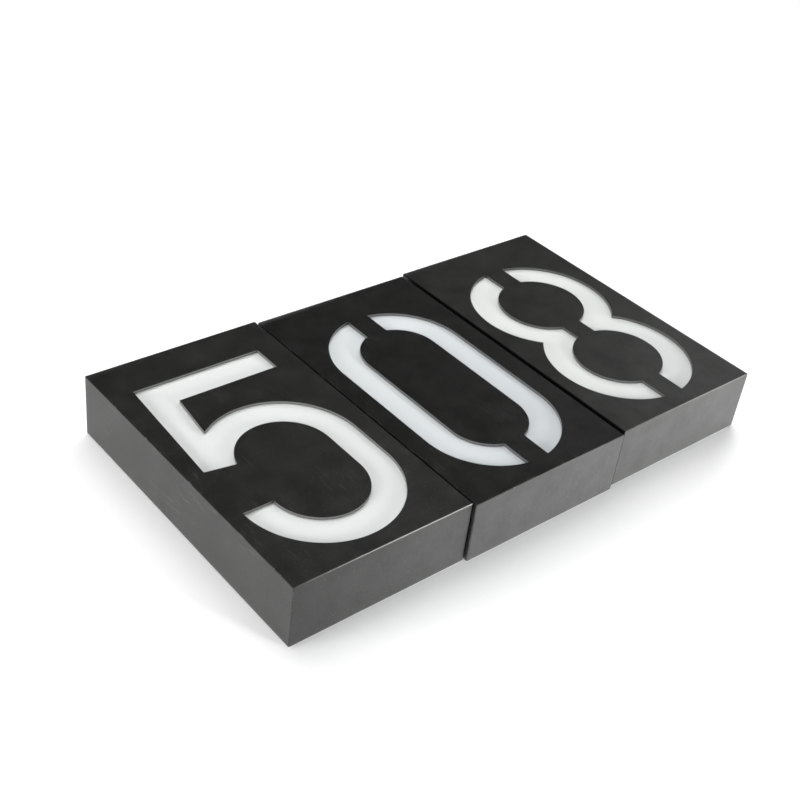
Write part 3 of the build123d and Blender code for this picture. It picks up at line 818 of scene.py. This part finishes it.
def model_knob():
    """Slide knob: foot inside the can, stem through the slot and three grip ridges."""
    foot = start_block("foot", (2.8, 2.8, 1.0), (*SWITCH, 9.2))
    stem = start_block("stem", (2.0, 1.6, 5.7), (*SWITCH, 12.05))
    with shaping(stem):
        pick_faces(z=1)
        inset(0.12)
        push(z=0.12)
    ridges = []
    for step in (-1, 0, 1):
        x, y = SWITCH[0] + step * 0.55, SWITCH[1]
        ridge = start_block("ridge", (0.28, 1.3, 0.20), (x, y, 15.08))
        with shaping(ridge):
            pick_faces(z=1)
            scale_about((x, y, 0.0), 0.6, 0.9)
        ridges.append(ridge)
    for member in (foot, stem):
        soften(member, 0.08, 2)
    knob = join("knob", [foot, stem, *ridges])
    fit_to_tiles(knob, "knob_grip", KNOB, body="knob", replaces="switch_knob")


def model_ribbons():
    """Tinned ribbons down the solar cells, with the links from each cell to the next."""
    made = []
    cells, pitch = 8, 8.55
    front, middle, height = 83.57, 14.75, 20.5
    width, thickness = 0.7, 0.06
    for cell in range(cells):
        x = (cell - (cells - 1) / 2) * pitch
        made.append(start_block("ribbon", (width, thickness, height), (x, front, middle)))
        if cell < cells - 1:
            end = middle + (height / 2 + width / 2) * (1 if cell % 2 else -1)
            between = (x + pitch / 2, front - 0.13, end)
            made.append(start_block("link", (pitch + width, thickness, width), between))
            made.append(start_block("step", (width, 0.20, width), (x, front - 0.06, end)))
    for member in made:
        soften(member, 0.02, 1)
    fit_to_tiles(join("ribbons", made), "cell_ribbons", NICKEL)


def model_welds():
    """Rippled weld beads inside the folded front's four upright corners, above the tray's rim."""
    ripples, pitch, lowest, in_from_edge = 13, 1.35, 11.0, SHEET + 0.25
    ripple = start_rod("ripple", 0.42, 1.3, ORIGIN, sides=10)
    with shaping(ripple):
        for side in (-1, 1):
            pick_faces(z=side)
            push(z=side * 0.25)
            scale_about(ORIGIN, 0.55, 0.55)
    across, along = (half - in_from_edge for half in TILE_HALF)
    spots = [
        (x * across, y * along, lowest + pitch * step)
        for x in (-1, 1) for y in (-1, 1) for step in range(ripples)
    ]
    beads = repeat(ripple, "beads", spots)
    fit_to_tiles(beads, "corner_welds", PAINTS, body="front", angle=60.0)


# ---------------------------------------------------------------- floor, light and camera

FLOOR_SIZE = 12.0
FLOOR_DROP = 0.0001


def make_floor_finish():
    """Matt white floor that shows white to the camera and in reflections, and keeps shadows."""
    floor = Finish("white_floor")
    camera, mirrored = floor.rays()
    seen = (camera + mirrored).least(1.0)
    away = floor.node("ShaderNodeVectorMath", {"operation": "LENGTH"}, {
        0: floor.node("ShaderNodeTexCoord", output="Object")}, output=1)
    matt = floor.node("ShaderNodeBsdfDiffuse", inputs={"Color": (0.93, 0.93, 0.93)})
    glow = floor.node("ShaderNodeEmission", inputs={"Color": (1.0, 1.0, 1.0), "Strength": seen * 0.10})
    near = floor.node("ShaderNodeAddShader", inputs={0: matt, 1: glow})
    white = floor.node("ShaderNodeEmission", inputs={"Color": (1.0, 1.0, 1.0), "Strength": 1.0})
    far = (seen * floor.fade(away, 0.30, 0.80)).most(mirrored * 0.65)
    top = floor.node("ShaderNodeMixShader", inputs={0: far, 1: near, 2: white})
    below = floor.node("ShaderNodeNewGeometry", output="Backfacing")
    clear = floor.node("ShaderNodeBsdfTransparent")
    return floor.done(floor.node("ShaderNodeMixShader", inputs={0: below, 1: top, 2: clear}))


def lay_floor():
    """Wide floor, a hair below the tiles' backs."""
    bpy.ops.object.select_all(action="DESELECT")
    bpy.ops.mesh.primitive_plane_add(size=FLOOR_SIZE, location=(0.0, 0.0, -FLOOR_DROP))
    floor = bpy.context.object
    floor.name = "floor"
    floor.data.materials.append(make_floor_finish())


def hang_lamp(name, place, aim, size, watts, spread=180.0):
    """Rectangular soft lamp that shows neither to the camera nor in gloss."""
    data = bpy.data.lights.new(name, "AREA")
    data.shape = "RECTANGLE"
    data.size, data.size_y = size
    data.energy = watts
    data.spread = math.radians(spread)
    lamp = bpy.data.objects.new(name, data)
    bpy.context.scene.collection.objects.link(lamp)
    lamp.location = place
    look = Vector(aim) - Vector(place)
    lamp.rotation_mode = "QUATERNION"
    lamp.rotation_quaternion = look.to_track_quat("-Z", "Y")
    lamp.visible_camera = False
    lamp.visible_glossy = False


def light_room():
    """One broad soft box overhead, three low ones for the walls, and a room that is white low down."""
    room = bpy.data.worlds.new("room")
    room.use_nodes = True
    air = Finish("room", room.node_tree)
    camera, mirrored = air.rays()
    way = air.node("ShaderNodeTexCoord", output="Generated")
    rise, = air.outputs("ShaderNodeSeparateXYZ", "Z", {"Vector": way})
    share = camera.most(mirrored * air.fade(rise, 0.20, 0.02))
    shade = air.blend(share, (0.03, 0.03, 0.03), (1.0, 1.0, 1.0))
    sky = air.node("ShaderNodeBackground", inputs={"Color": shade, "Strength": 1.0})
    air.node("ShaderNodeOutputWorld", inputs={"Surface": sky})
    bpy.context.scene.world = room
    hang_lamp("overhead", (0.18, 0.78, 1.66), ORIGIN, (1.7, 1.7), 27.0)
    hang_lamp("back_right", (1.00, 0.62, 0.50), (0.0, 0.0, 0.03), (0.5, 0.3), 8.5)
    hang_lamp("front_right", (0.42, -0.97, 0.18), (0.07, -0.09, 0.02), (0.5, 0.25), 2.1, spread=60.0)
    hang_lamp("left", (-1.15, 0.0, 0.22), (-0.15, 0.0, 0.02), (1.0, 0.35), 23.0)


# The photograph's camera: its focal length in pixels of an 800-pixel picture, its place, and its turn
# (to the left), its rise above the floor and its roll in degrees.
FOCAL_PIXELS, PICTURE_PIXELS = 1284.0, 800.0
CAMERA_PLACE = (-0.3921, -0.3822, 0.4065)
CAMERA_TURN, CAMERA_RISE, CAMERA_ROLL = -44.05, 35.46, 7.83


def place_camera():
    """The view of the photograph, from the near left and above."""
    data = bpy.data.cameras.new("camera")
    data.sensor_width = 36.0
    data.lens = FOCAL_PIXELS / PICTURE_PIXELS * data.sensor_width
    data.clip_start, data.clip_end = 0.01, 50.0
    camera = bpy.data.objects.new("camera", data)
    bpy.context.scene.collection.objects.link(camera)
    turn, rise, roll = (math.radians(angle) for angle in (CAMERA_TURN, CAMERA_RISE, CAMERA_ROLL))
    back = Vector((
        math.sin(turn) * math.cos(rise), -math.cos(turn) * math.cos(rise), math.sin(rise)))
    camera.location = CAMERA_PLACE
    camera.rotation_mode = "QUATERNION"
    level = (-back).to_track_quat("-Z", "Y")
    camera.rotation_quaternion = level @ Quaternion((0.0, 0.0, 1.0), roll)
    bpy.context.scene.camera = camera


dress_cad_nodes()
model_plugs()
model_packages()
model_board_metal()
model_solder()
model_phosphor()
model_led_feet()
model_cell_sleeve()
model_cell_caps()
model_knob()
model_ribbons()
model_welds()
lay_floor()
light_room()
place_camera()
bpy.context.scene.view_settings.view_transform = "Standard"
